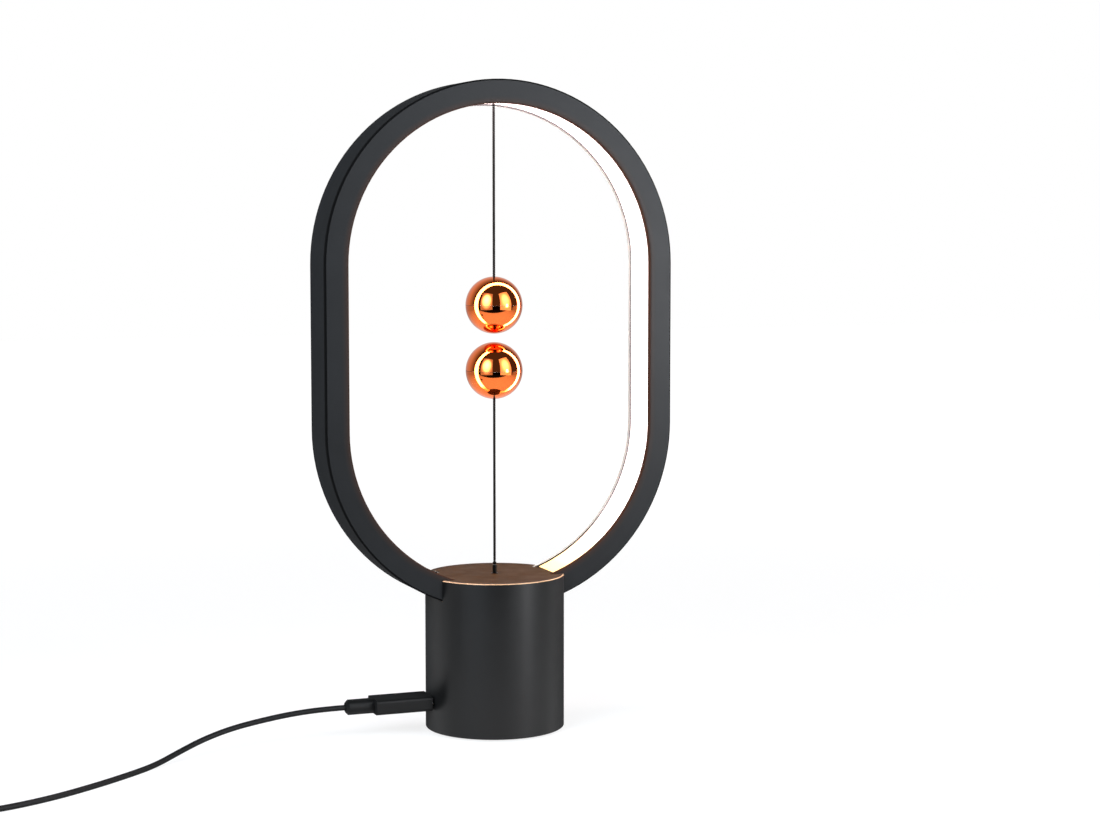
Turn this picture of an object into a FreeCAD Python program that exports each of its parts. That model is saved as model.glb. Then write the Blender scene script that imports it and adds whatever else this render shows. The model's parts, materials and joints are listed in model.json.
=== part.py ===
import FreeCAD, Part
import math
import os
from FreeCAD import Vector

# Magnetic balance lamp: a loop of light standing in a round base, with two magnetic balls on
# strings as its switch. Millimetres, +Z up, origin at the centre of the underside. The loop lies
# in the XZ plane, its open face looks to -Y, and the power socket is on -X.


def polar(radius, degrees):
    return (
        radius * math.cos(math.radians(degrees)),
        radius * math.sin(math.radians(degrees)),
    )


# Clearances
seat_gap = 0.1
slip_gap = 0.05
running_gap = 0.06
pivot_gap = 0.05
thread_gap = 0.05
hole_gap = 0.2

# How far a cutting tool runs past what it cuts
over = 1.0

# Base housing
base_radius = 27.0
base_height = 60.5
base_wall = 2.2
base_underside = 0.8
base_top_rounding = 0.5
base_bottom_rounding = 0.4
ledge_width = 1.8
ledge_height = 1.8
bore_radius = base_radius - base_wall

# Ring: a stadium-shaped loop, sunk into the top of the base
ring_radius = 70.0
ring_straight = 62.5
ring_depth = 21.0
ring_face_width = 9.2
ring_sink = 12.5
ring_web = 1.8
rear_flange = 1.6
front_plate = 1.8
ring_edge_chamfer = 0.6
ring_rear_chamfer = 0.3
front_lip_width = 1.0
front_lip_depth = 1.2
ring_bottom_z = base_height - ring_sink
lower_centre_z = ring_bottom_z + ring_radius
upper_centre_z = lower_centre_z + ring_straight
ring_inner_radius = ring_radius - ring_face_width
web_inner_radius = ring_radius - ring_web
front_y = -ring_depth / 2
rear_y = ring_depth / 2
plate_back_y = front_y + front_plate
flange_front_y = rear_y - rear_flange
ring_top_z = upper_centre_z + ring_radius

# Diffuser and light strip
diffuser_recess = 0.6
diffuser_wall = 1.6
diffuser_leg_gap = 0.3
diffuser_leg_wall = 1.0
strip_thickness = 0.3
strip_width = 10.0
chip_length = 3.5
chip_width = 2.8
chip_height = 0.8
chip_pitch = 12.0
diffuser_radius = ring_inner_radius + diffuser_recess
lip_radius = web_inner_radius - seat_gap
diffuser_leg_radius = lip_radius - front_lip_width - diffuser_leg_gap
strip_radius = web_inner_radius - slip_gap - strip_thickness

# Top cover of the base
cover_thickness = 2.2
cover_rim_gap = 0.05
cover_boss_radius = 3.0
cover_boss_length = 4.2
cover_bottom_z = base_height - cover_thickness

# Cradle that carries the ring and the switch
cradle_drop = 9.5
cradle_thickness = 2.5
cradle_rib_x = 13.5
cradle_rib_width = 4.0
cradle_rib_margin = 1.0
post_radius = 3.4
post_to_ledge = 2.1
post_offset = bore_radius - ledge_width - post_to_ledge - post_radius
cradle_top_z = ring_bottom_z - cradle_drop
cradle_bottom_z = cradle_top_z - cradle_thickness

# Screws: shank radius, head radius, head height
screw_radius = 1.2
screw_head_radius = 2.2
screw_head_height = 1.0
cover_screw_head_height = 1.4
screw_slot_width = 0.5
screw_slot_depth = 0.4
small_screw_radius = 0.8
small_head_radius = 1.5
small_head_height = 0.9
screw_hole_radius = screw_radius + hole_gap
screw_pilot_radius = screw_radius + thread_gap
small_pilot_radius = small_screw_radius + thread_gap

# Bottom cover, foot and ballast
foot_thickness = 1.6
foot_margin = 4.0
bottom_cover_thickness = 2.4
bottom_recess = 0.6
boss_radius = 3.4
boss_root = 0.2
boss_height = 10.6
boss_angles = (0, 120, 240)
bottom_screw_length = 7.4
ballast_gap = 2.2
ballast_floor = 5.0
ballast_screw_offset = 12.0
ballast_screw_length = 5.4
foot_radius = base_radius - foot_margin
bottom_cover_z = foot_thickness - bottom_recess
bottom_cover_top_z = bottom_cover_z + bottom_cover_thickness
boss_circle_radius = bore_radius - boss_radius + boss_root
ballast_radius = bore_radius - ballast_gap
ballast_step_z = bottom_cover_top_z + ballast_floor

# Power socket and near plug, on the board's axis
socket_bore_width = 8.34
socket_bore_height = 2.56
socket_wall = 0.3
socket_length = 7.0
socket_inset = 0.8
socket_tongue_width = 6.7
socket_tongue_thickness = 0.7
socket_tongue_length = 4.4
socket_back = 1.4
socket_opening_gap = 0.32
plug_width = 12.4
plug_height = 5.8
plug_length = 22.2
plug_rounding = 1.3
plug_standoff = 0.47
plug_shell_side_gap = 0.045
plug_shell_top_gap = 0.08
plug_shell_wall = 0.25
plug_shell_length = 6.55
relief_radius = 2.95
relief_length = 10.83
relief_chamfer = 1.0
socket_width = socket_bore_width + 2 * socket_wall
socket_height = socket_bore_height + 2 * socket_wall
socket_front_x = -base_radius + socket_inset
socket_back_x = socket_front_x + socket_length
plug_shell_width = socket_bore_width - 2 * plug_shell_side_gap
plug_shell_height = socket_bore_height - 2 * plug_shell_top_gap
near_plug_x = -base_radius - plug_standoff

# Control board, which reaches inwards from the back of the socket
board_reach = 13.8
board_clearance = 1.0
board_thickness = 1.2
board_to_boss = 2.3
board_edge_gap = 0.6
board_to_ballast = 0.8
board_screw_inset = 2.8
board_screw_edge = 2.4
board_boss_radius = 2.0
board_screw_depth = 3.2
board_bottom_z = ballast_step_z + board_clearance
board_top_z = board_bottom_z + board_thickness
board_end_x = socket_back_x + board_reach
board_half_width = polar(boss_circle_radius, boss_angles[1])[1] - boss_radius - board_to_boss
board_screw_x = board_end_x - board_screw_inset
board_screw_y = board_half_width - board_screw_edge
ballast_step_x = board_end_x + board_to_ballast
socket_axis_z = board_top_z + slip_gap + socket_height / 2

# Parts on the board: centre x from the back of the socket, centre y, length, width, height
driver_chip = (2.7, 7.5, 5.0, 4.0, 1.5)
inductor = (2.6, -7.6, 4.4, 4.4, 3.0)
capacitor_offset = 6.95
capacitor_y = -8.2
capacitor_radius = 2.0
capacitor_height = 5.2
connector_offset = 8.2
connector_length = 4.0
connector_width = 4.0
connector_height = 5.0
light_connector_y = -2.4
switch_connector_y = 2.2
connector_x = socket_back_x + connector_offset

# Pull switch
case_length = 13.0
case_width = 9.0
case_wall = 1.0
case_roof = 1.2
case_above_cradle = 8.0
case_below_cradle = 7.5
case_ear_length = 6.0
case_ear_thickness = 1.2
case_ear_end = 2.3
case_to_screw = 2.8
case_screw_depth = 2.0
switch_base_thickness = 1.2
spring_rest_length = 3.8
spring_wire_radius = 0.2
spring_radius = 2.0
spring_turns = 5
switch_travel = 2.0
plunger_radius = 2.6
plunger_thickness = 1.5
stem_radius = 1.3
stem_end_gap = 0.3
bridge_to_leg = 0.9
bridge_width = 3.4
bridge_thickness = 0.5
bridge_height_on_stem = 1.5
contact_gap = 0.05
contact_thickness = 0.4
contact_inner_x = 2.2
contact_to_wall = 0.2
contact_width = 1.4
contact_y = 1.5
contact_pin_drop = 1.5
switch_to_ballast = 5.5
case_screw_y = case_width / 2 + case_to_screw
case_ear_reach = case_screw_y + case_ear_end
contact_outer_x = case_length / 2 - case_wall - contact_to_wall
bridge_length = 2 * (contact_outer_x - contact_thickness - bridge_to_leg)
case_top_z = cradle_top_z + case_above_cradle
case_bottom_z = cradle_top_z - case_below_cradle
case_ceiling_z = case_top_z - case_roof
plunger_top_z = case_ceiling_z - spring_rest_length
plunger_bottom_z = plunger_top_z - plunger_thickness
stem_bottom_z = case_bottom_z + switch_base_thickness + switch_travel + stem_end_gap
bridge_bottom_z = stem_bottom_z + bridge_height_on_stem
bridge_top_z = bridge_bottom_z + bridge_thickness
contact_bottom_z = bridge_top_z + contact_gap
pin_bottom_z = case_bottom_z - contact_pin_drop
ballast_top_z = pin_bottom_z - switch_to_ballast

# Pull rod and its guide
rod_radius = 0.8
rod_stub = 1.3
rod_seat = 3.0
guide_radius = 1.35
guide_proud = 0.1
guide_flange_radius = 2.4
guide_flange_thickness = 0.8
web_hole_radius = 1.6
rod_top_z = base_height + switch_travel + rod_stub
rod_bottom_z = plunger_top_z - rod_seat

# Strings, beads and balls
string_radius = 0.54
lower_bead_radius = 0.75
upper_bead_radius = 0.7
ball_radius = 11.0
ball_shell = 0.8
ball_seam = 0.12
ball_gap = 3.23
upper_ball_drop = 77.21
core_radius = 4.8
core_disc_thickness = 1.6
magnet_radius = 4.0
magnet_thickness = 5.0
knot_radius = 1.15
knot_offset = 2.3
knot_room = 0.15
anchor_radius = 2.2
anchor_dimple_radius = 0.9
anchor_dimple_depth = 0.15
core_length = 2 * math.sqrt((ball_radius - ball_shell - slip_gap) ** 2 - core_radius**2)
lower_pivot_z = rod_top_z + pivot_gap + lower_bead_radius
diffuser_top_z = upper_centre_z + diffuser_radius
upper_pivot_z = diffuser_top_z - upper_bead_radius
upper_ball_z = diffuser_top_z - upper_ball_drop
lower_ball_z = upper_ball_z - 2 * ball_radius - ball_gap

# Wires inside the base
wire_radius = 0.4
wire_spacing = 1.2
wire_bend = 1.6
wire_hole_x = 10.3
wire_hole_radius = 1.7
wire_start_x = 18.0
light_wire_clearance = 3.4
switch_wire_clearance = 1.3

# Cord: its route from the strain relief to the coil, chosen by hand
cord_diameter = 2.1
cord_straight = 8.5
cord_points = [
    (-81.0, -0.3, 11.6),
    (-93.0, -1.1, 10.2),
    (-105.5, -3.1, 8.5),
    (-117.0, -6.8, 6.1),
    (-127.0, -12.0, 3.4),
    (-137.0, -19.0, 1.05),
    (-149.0, -30.0, 1.05),
    (-163.5, -41.5, 1.05),
    (-179.0, -52.0, 1.05),
    (-197.0, -60.6, 1.15),
    (-211.0, -64.4, 1.75),
]
cord_bend_share = 0.45

# Coil of the put-away length: loops piled in layers that spiral in and out
coil_heading = (-0.965, -0.262)
coil_lead_in = 9.0
coil_outer_radius = 16.3
coil_pitch = 3.1
coil_layer_pitch = 2.85
coil_layers = 4
coil_half_turns_per_layer = 6
coil_lift = 0.7

# Tie round the coil
tie_thickness = 0.6
tie_width = 4.0
tie_margin = 0.4
tie_angle = 135.0
tie_top_gap = 0.15

# Tail, as the length of each run and its share of the way down, and far plug
tail_runs = [(9.0, 0.0), (11.0, 0.22), (12.0, 0.49), (10.0, 0.29), (8.0, 0.0)]
far_plug_width = 16.0
far_plug_height = 8.0
far_plug_length = 25.0
far_plug_rounding = 1.5
far_shell_width = 12.0
far_shell_height = 4.5
far_shell_wall = 0.3
far_shell_length = 18.6
far_tongue_side_gap = 0.2
far_tongue_thickness = 1.8
far_tongue_length = 16.0
far_tongue_drop = 0.75
far_tongue_width = far_shell_width - 2 * (far_shell_wall + far_tongue_side_gap)


def save(shape, name):
    shape.exportStep(os.path.join("parts", name + ".step"))


def group(solids):
    return Part.makeCompound(solids)


def box(x0, x1, y0, y1, z0, z1):
    return Part.makeBox(x1 - x0, y1 - y0, z1 - z0, Vector(x0, y0, z0))


def block(x, y, length, width, z0, z1):
    return box(x - length / 2, x + length / 2, y - width / 2, y + width / 2, z0, z1)


def cylinder(radius, z0, z1, x=0.0, y=0.0):
    return Part.makeCylinder(radius, z1 - z0, Vector(x, y, z0))


def half_width_at(radius, z):
    """Half the width, at height z, of the ring's lower arc of that radius."""
    return math.sqrt(radius**2 - (lower_centre_z - z) ** 2)


def height_at(radius, x):
    """The height of the ring's lower arc of that radius, at x."""
    return lower_centre_z - math.sqrt(radius**2 - x**2)


def stadium(radius, y0, y1):
    """A solid stadium on the ring's own centres, from y0 to y1."""
    right_low = Vector(radius, y0, lower_centre_z)
    right_high = Vector(radius, y0, upper_centre_z)
    left_high = Vector(-radius, y0, upper_centre_z)
    left_low = Vector(-radius, y0, lower_centre_z)
    top = Vector(0, y0, upper_centre_z + radius)
    bottom = Vector(0, y0, lower_centre_z - radius)
    edges = [
        Part.makeLine(right_low, right_high),
        Part.Arc(right_high, top, left_high).toShape(),
        Part.makeLine(left_high, left_low),
        Part.Arc(left_low, bottom, right_low).toShape(),
    ]
    return Part.Face(Part.Wire(edges)).extrude(Vector(0, y1 - y0, 0))


def band(outer, inner, y0, y1):
    return stadium(outer, y0, y1).cut(stadium(inner, y0 - over, y1 + over))


def ring_distance(point):
    """How far a point is from the ring's spine."""
    z = min(max(point.z, lower_centre_z), upper_centre_z)
    return math.hypot(point.x, point.z - z)


def edges_at(shape, y, radius):
    """The edges that lie at y, at that distance from the ring's spine."""
    found = []
    for edge in shape.Edges:
        ends = [v.Point for v in edge.Vertexes]
        middle = edge.valueAt((edge.FirstParameter + edge.LastParameter) / 2)
        points = ends + [middle]
        if all(abs(p.y - y) < 1e-4 for p in points):
            if all(abs(ring_distance(p) - radius) < 1e-3 for p in points):
                found.append(edge)
    return found


def circle_edges(shape, radius, z):
    """The whole-circle edges of that radius at that height."""
    found = []
    for edge in shape.Edges:
        if isinstance(edge.Curve, Part.Circle):
            circle = edge.Curve
            if abs(circle.Radius - radius) < 1e-6 and abs(circle.Center.z - z) < 1e-6:
                found.append(edge)
    return found


def obround(width, height, x0, x1, y, z):
    """A bar along X whose section is a flat oval, wide along Y."""
    r = height / 2
    flat = width / 2 - r
    top_left = Vector(x0, y - flat, z + r)
    top_right = Vector(x0, y + flat, z + r)
    bottom_right = Vector(x0, y + flat, z - r)
    bottom_left = Vector(x0, y - flat, z - r)
    edges = [
        Part.makeLine(top_left, top_right),
        Part.Arc(top_right, Vector(x0, y + flat + r, z), bottom_right).toShape(),
        Part.makeLine(bottom_right, bottom_left),
        Part.Arc(bottom_left, Vector(x0, y - flat - r, z), top_left).toShape(),
    ]
    return Part.Face(Part.Wire(edges)).extrude(Vector(x1 - x0, 0, 0))


def arc_from(start, tangent, end):
    """The arc from start to end that leaves start along the tangent."""
    chord = end.sub(start)
    along = Vector(chord).normalize()
    cosine = max(-1.0, min(1.0, along.dot(tangent)))
    side = tangent.sub(along * cosine)
    if side.Length < 1e-9:
        return Part.makeLine(start, end)
    half_turn = math.acos(cosine)
    rise = chord.Length / 2 * math.tan(half_turn / 2)
    middle = (start + end) * 0.5 + side.normalize() * rise
    return Part.Arc(start, middle, end).toShape()


def biarc(start, start_tangent, end, end_tangent):
    """Two arcs from start to end that meet smoothly, for ends that point in given ways."""
    chord = end.sub(start)
    both = start_tangent + end_tangent
    bend = 2 * (1 - start_tangent.dot(end_tangent))
    ahead = chord.dot(both)
    reach = (-ahead + math.sqrt(ahead**2 + bend * chord.dot(chord))) / bend
    first = start + start_tangent * reach
    last = end - end_tangent * reach
    joint = (first + last) * 0.5
    joint_tangent = last.sub(first).normalize()
    return [arc_from(start, start_tangent, joint), arc_from(joint, joint_tangent, end)]


def rounded_path(points, share, label, fixed_bend=None):
    """Straight runs through the points, joined by tangent arcs as large as the runs allow."""
    points = [Vector(*p) for p in points]
    edges = []
    radii = []
    here = points[0]
    for before, corner, after in zip(points, points[1:], points[2:]):
        into = corner.sub(before)
        out = after.sub(corner)
        turn = into.getAngle(out)
        short = min(into.Length, out.Length)
        radius = share * short / math.tan(turn / 2)
        if fixed_bend:
            radius = min(radius, fixed_bend)
        back = radius * math.tan(turn / 2)
        begin = corner - Vector(into).normalize() * back
        end = corner + Vector(out).normalize() * back
        edges.append(Part.makeLine(here, begin))
        edges.append(arc_from(begin, Vector(into).normalize(), end))
        radii.append(radius)
        here = end
    edges.append(Part.makeLine(here, points[-1]))
    if label:
        print(label, "bend radii", [round(r, 1) for r in radii])
    return edges


def tube_on(edges, radius, label=None):
    """A round tube along smoothly joined edges."""
    path = Part.Wire(edges)
    first = edges[0]
    start = first.valueAt(first.FirstParameter)
    tangent = first.tangentAt(first.FirstParameter)
    profile = Part.Wire([Part.Circle(start, tangent, radius).toShape()])
    shell = Part.BRepOffsetAPI.MakePipeShell(path)
    shell.add(profile)
    shell.build()
    shell.makeSolid()
    solid = shell.shape()
    if label:
        wanted = math.pi * radius**2 * path.Length
        print(label, "length", round(path.Length, 2), "volume share", round(solid.Volume / wanted, 5))
    return solid


def screw(x, y, head_z, tip_z, radius, head_radius, head_height):
    """A pan-head screw whose head ends at head_z, on the other side from its tip."""
    up = 1 if tip_z > head_z else -1
    shoulder = head_z + up * head_height
    head = cylinder(head_radius, min(head_z, shoulder), max(head_z, shoulder), x, y)
    shank = cylinder(radius, min(shoulder, tip_z), max(shoulder, tip_z), x, y)
    floor = head_z + up * screw_slot_depth
    slot = block(
        x, y, 2 * head_radius + over, screw_slot_width, min(head_z, floor), max(head_z, floor)
    )
    return head.fuse(shank).removeSplitter().cut(slot)


def boss_places():
    return [polar(boss_circle_radius, angle) for angle in boss_angles]


def post_places():
    return [(0.0, post_offset), (0.0, -post_offset)]


# Base

def base_housing():
    body = cylinder(base_radius, base_underside, base_height)
    body = body.makeFillet(base_top_rounding, circle_edges(body, base_radius, base_height))
    body = body.makeFillet(base_bottom_rounding, circle_edges(body, base_radius, base_underside))
    body = body.cut(cylinder(bore_radius, base_underside - over, base_height + over))
    for ledge_z in (cover_bottom_z - ledge_height, cradle_top_z):
        ledge = cylinder(bore_radius + slip_gap, ledge_z, ledge_z + ledge_height)
        body = body.fuse(ledge.cut(cylinder(bore_radius - ledge_width, ledge_z - over, base_height)))
    for x, y in boss_places():
        boss = cylinder(boss_radius, bottom_cover_top_z, bottom_cover_top_z + boss_height, x, y)
        body = body.fuse(boss)
        pilot_top = bottom_cover_top_z + bottom_screw_length
        body = body.cut(cylinder(screw_pilot_radius, bottom_cover_top_z - over, pilot_top, x, y))
    body = body.cut(stadium(ring_radius + seat_gap, front_y - seat_gap, rear_y + seat_gap))
    opening = obround(
        socket_width + 2 * socket_opening_gap,
        socket_height + 2 * socket_opening_gap,
        -base_radius - over,
        -bore_radius + over,
        0,
        socket_axis_z,
    )
    return body.cut(opening).removeSplitter()


def base_top_cover():
    cover = cylinder(bore_radius - cover_rim_gap, cover_bottom_z, base_height)
    for x, y in post_places():
        boss = cylinder(cover_boss_radius, cover_bottom_z - cover_boss_length, cover_bottom_z, x, y)
        cover = cover.fuse(boss)
        pilot = cylinder(
            screw_pilot_radius, cover_bottom_z - cover_boss_length - over, cover_bottom_z - seat_gap, x, y
        )
        cover = cover.cut(pilot)
    edge_x = half_width_at(ring_inner_radius, base_height) - hole_gap
    for side in (-1, 1):
        x0, x1 = sorted((side * edge_x, side * (base_radius + over)))
        for y0, y1 in ((front_y, plate_back_y), (flange_front_y, rear_y)):
            low, high = cover_bottom_z - over, base_height + over
            cover = cover.cut(box(x0, x1, y0 - hole_gap, y1 + hole_gap, low, high))
    cover = cover.cut(cylinder(guide_radius + slip_gap, cover_bottom_z - over, base_height + over))
    return cover.removeSplitter()


def ring_cradle():
    plate = cylinder(bore_radius - hole_gap, cradle_bottom_z, cradle_top_z)
    half_depth = ring_depth / 2 - cradle_rib_margin
    for side in (-1, 1):
        x0, x1 = sorted((side * cradle_rib_x, side * (cradle_rib_x + cradle_rib_width)))
        rib_top = height_at(ring_radius, cradle_rib_x + cradle_rib_width) + over
        plate = plate.fuse(box(x0, x1, -half_depth, half_depth, cradle_top_z, rib_top))
    plate = plate.cut(stadium(ring_radius + slip_gap, front_y - over, rear_y + over))
    for x, y in post_places():
        post_top = cover_bottom_z - cover_boss_length - slip_gap
        plate = plate.fuse(cylinder(post_radius, cradle_top_z, post_top, x, y))
        plate = plate.cut(cylinder(screw_hole_radius, cradle_bottom_z - over, post_top + over, x, y))
    for x, y in boss_places():
        plate = plate.cut(
            cylinder(boss_radius + hole_gap, cradle_bottom_z - over, cradle_top_z + over, x, y)
        )
    plate = plate.cut(
        block(
            0,
            0,
            case_length + 2 * hole_gap,
            case_width + 2 * hole_gap,
            cradle_bottom_z - over,
            cradle_top_z + over,
        )
    )
    for side in (-1, 1):
        plate = plate.cut(
            cylinder(
                small_pilot_radius,
                cradle_top_z - case_screw_depth,
                cradle_top_z + over,
                0,
                side * case_screw_y,
            )
        )
    plate = plate.cut(
        cylinder(
            wire_hole_radius, cradle_bottom_z - over, cradle_top_z + over, wire_hole_x, light_connector_y
        )
    )
    return plate.removeSplitter()


def cover_screws():
    tip = cover_bottom_z - 2 * seat_gap - slip_gap
    head = cradle_bottom_z - cover_screw_head_height
    return group(
        [
            screw(x, y, head, tip, screw_radius, screw_head_radius, cover_screw_head_height)
            for x, y in post_places()
        ]
    )


def bottom_cover_hole(x, y):
    """A screw's clearance hole with a pocket for its head, seen from below."""
    head_z = bottom_cover_z + bottom_recess
    pocket = cylinder(
        screw_head_radius + hole_gap, head_z - over, head_z + screw_head_height + slip_gap, x, y
    )
    hole = cylinder(screw_hole_radius, bottom_cover_z - over, bottom_cover_top_z + over, x, y)
    return pocket.fuse(hole)


def ballast_screw_places():
    return [(0.0, ballast_screw_offset), (0.0, -ballast_screw_offset)]


def base_bottom_cover():
    cover = cylinder(bore_radius - hole_gap, bottom_cover_z, bottom_cover_top_z)
    cover = cover.cut(
        cylinder(foot_radius + hole_gap, bottom_cover_z - over, bottom_cover_z + bottom_recess)
    )
    for x, y in boss_places() + ballast_screw_places():
        cover = cover.cut(bottom_cover_hole(x, y))
    return cover


def foot_pad():
    pad = cylinder(foot_radius, 0, foot_thickness)
    return pad.makeChamfer(bottom_recess / 2, circle_edges(pad, foot_radius, 0))


def bottom_screw_set(places, length):
    head = bottom_cover_z + bottom_recess + slip_gap
    tip = bottom_cover_top_z + length - seat_gap
    return group(
        [screw(x, y, head, tip, screw_radius, screw_head_radius, screw_head_height) for x, y in places]
    )


def ballast_weight():
    body = cylinder(ballast_radius, bottom_cover_top_z, ballast_top_z)
    body = body.cut(
        box(
            -base_radius,
            ballast_step_x,
            -base_radius,
            base_radius,
            ballast_step_z,
            ballast_top_z + over,
        )
    )
    for x, y in boss_places():
        room_top = bottom_cover_top_z + boss_height + hole_gap
        body = body.cut(
            cylinder(boss_radius + 2 * hole_gap, bottom_cover_top_z - over, room_top, x, y)
        )
    for x, y in board_screw_places():
        boss = cylinder(board_boss_radius, ballast_step_z, board_bottom_z - slip_gap, x, y)
        body = body.fuse(boss)
        body = body.cut(
            cylinder(small_pilot_radius, board_bottom_z - board_screw_depth, board_bottom_z + over, x, y)
        )
    for x, y in ballast_screw_places():
        body = body.cut(
            cylinder(
                screw_pilot_radius,
                bottom_cover_top_z - over,
                bottom_cover_top_z + ballast_screw_length,
                x,
                y,
            )
        )
    return body.removeSplitter()


# Ring

def flange_relief():
    """The room cut out of the ring's flanges where the top cover of the base crosses them."""
    half = half_width_at(ring_inner_radius, base_height) - hole_gap + seat_gap
    return box(
        -half, half, front_y - over, rear_y + over, cover_bottom_z - hole_gap, base_height + over
    )


def ring_rear_shell():
    web = band(ring_radius, web_inner_radius, plate_back_y + slip_gap, rear_y)
    flange = band(ring_radius, ring_inner_radius, flange_front_y, rear_y)
    shell = web.fuse(flange).removeSplitter()
    shell = shell.makeChamfer(ring_rear_chamfer, edges_at(shell, rear_y, ring_radius))
    shell = shell.cut(flange_relief())
    shell = shell.cut(cylinder(web_hole_radius, ring_bottom_z - over, cover_bottom_z))
    wire_hole = cylinder(
        wire_hole_radius, ring_bottom_z - over, cover_bottom_z, wire_hole_x, light_connector_y
    )
    return shell.cut(wire_hole)


def ring_front_cover():
    plate = band(ring_radius, ring_inner_radius, front_y, plate_back_y)
    plate = plate.makeChamfer(ring_edge_chamfer, edges_at(plate, front_y, ring_radius))
    plate = plate.makeChamfer(ring_rear_chamfer, edges_at(plate, front_y, ring_inner_radius))
    lip_y = plate_back_y + front_lip_depth
    lip = band(lip_radius, lip_radius - front_lip_width, plate_back_y, lip_y)
    return plate.fuse(lip).cut(flange_relief()).removeSplitter()


def ring_diffuser():
    y0 = plate_back_y + seat_gap
    y1 = flange_front_y - seat_gap
    body = band(diffuser_radius + diffuser_wall, diffuser_radius, y0, y1)
    body = body.fuse(band(diffuser_leg_radius, diffuser_radius, y0, y0 + diffuser_leg_wall))
    body = body.fuse(band(diffuser_leg_radius, diffuser_radius, y1 - diffuser_leg_wall, y1))
    body = body.cut(
        box(
            -ring_radius,
            ring_radius,
            front_y - over,
            rear_y + over,
            ring_bottom_z - over,
            base_height + seat_gap,
        )
    )
    body = body.cut(cylinder(anchor_radius + slip_gap, diffuser_top_z - over, ring_top_z))
    return body.removeSplitter()


def led_strip():
    strip = band(strip_radius + strip_thickness, strip_radius, -strip_width / 2, strip_width / 2)
    strip = strip.cut(
        box(
            -wire_start_x,
            wire_start_x,
            front_y,
            rear_y,
            ring_bottom_z - over,
            base_height + over,
        )
    )
    return strip.cut(cylinder(anchor_radius + hole_gap, diffuser_top_z - over, ring_top_z))


def along_ring(distance):
    """Where a point lies after that distance round the strip's face, from the bottom towards +X:
    x, z and the angle of the outward normal in the XZ plane."""
    quarter = math.pi / 2 * strip_radius
    if distance < quarter:
        angle = -math.pi / 2 + distance / strip_radius
        return (
            strip_radius * math.cos(angle),
            lower_centre_z + strip_radius * math.sin(angle),
            angle,
        )
    if distance < quarter + ring_straight:
        return strip_radius, lower_centre_z + distance - quarter, 0.0
    if distance < 3 * quarter + ring_straight:
        angle = (distance - quarter - ring_straight) / strip_radius
        return (
            strip_radius * math.cos(angle),
            upper_centre_z + strip_radius * math.sin(angle),
            angle,
        )
    if distance < 3 * quarter + 2 * ring_straight:
        return (
            -strip_radius,
            upper_centre_z - (distance - 3 * quarter - ring_straight),
            math.pi,
        )
    angle = math.pi + (distance - 3 * quarter - 2 * ring_straight) / strip_radius
    return strip_radius * math.cos(angle), lower_centre_z + strip_radius * math.sin(angle), angle


def led_chips():
    around = 2 * math.pi * strip_radius + 2 * ring_straight
    first = strip_radius * math.asin((wire_start_x + chip_pitch) / strip_radius)
    lit = around - 2 * first
    count = int(lit / chip_pitch) // 2 * 2
    chips = []
    for i in range(count):
        distance = around / 2 + (i - (count - 1) / 2) * chip_pitch
        x, z, angle = along_ring(distance)
        chip = Part.makeBox(
            chip_height,
            chip_width,
            chip_length,
            Vector(-chip_height - slip_gap, -chip_width / 2, -chip_length / 2),
        )
        chip.rotate(Vector(0, 0, 0), Vector(0, 1, 0), -math.degrees(angle))
        chip.translate(Vector(x, 0, z))
        chips.append(chip)
    return group(chips)


def string_anchor():
    body = cylinder(anchor_radius, diffuser_top_z, height_of_web_top() - seat_gap)
    return body.cut(
        cylinder(anchor_dimple_radius, diffuser_top_z - over, diffuser_top_z + anchor_dimple_depth)
    )


def height_of_web_top():
    """The lowest point of the web's inner face above the string's anchor."""
    return upper_centre_z + math.sqrt(web_inner_radius**2 - anchor_radius**2)


# Board and socket

def board_screw_places():
    return [(board_screw_x, board_screw_y), (board_screw_x, -board_screw_y)]


def control_board():
    board = cylinder(bore_radius - board_edge_gap, board_bottom_z, board_top_z)
    board = board.common(
        box(
            -base_radius,
            board_end_x,
            -board_half_width,
            board_half_width,
            board_bottom_z - over,
            board_top_z + over,
        )
    )
    for x, y in board_screw_places():
        hole = cylinder(small_screw_radius + hole_gap, board_bottom_z - over, board_top_z + over, x, y)
        board = board.cut(hole)
    return board


def board_screws():
    return group(
        [
            screw(
                x,
                y,
                board_top_z + slip_gap + small_head_height,
                board_bottom_z - board_screw_depth + seat_gap,
                small_screw_radius,
                small_head_radius,
                small_head_height,
            )
            for x, y in board_screw_places()
        ]
    )


def board_components():
    solids = []
    for offset, y, length, width, height in (driver_chip, inductor):
        x = socket_back_x + offset
        solids.append(block(x, y, length, width, board_top_z, board_top_z + height))
    capacitor_top_z = board_top_z + capacitor_height
    capacitor_x = socket_back_x + capacitor_offset
    solids.append(
        cylinder(capacitor_radius, board_top_z, capacitor_top_z, capacitor_x, capacitor_y)
    )
    for y in (light_connector_y, switch_connector_y):
        solids.append(
            block(
                connector_x,
                y,
                connector_length,
                connector_width,
                board_top_z,
                board_top_z + connector_height,
            )
        )
    return group(solids)


def socket_shell():
    outer = obround(
        socket_width, socket_height, socket_front_x, socket_back_x, 0, socket_axis_z
    )
    inner = obround(
        socket_bore_width,
        socket_bore_height,
        socket_front_x - over,
        socket_back_x - socket_wall,
        0,
        socket_axis_z,
    )
    return outer.cut(inner)


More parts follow.
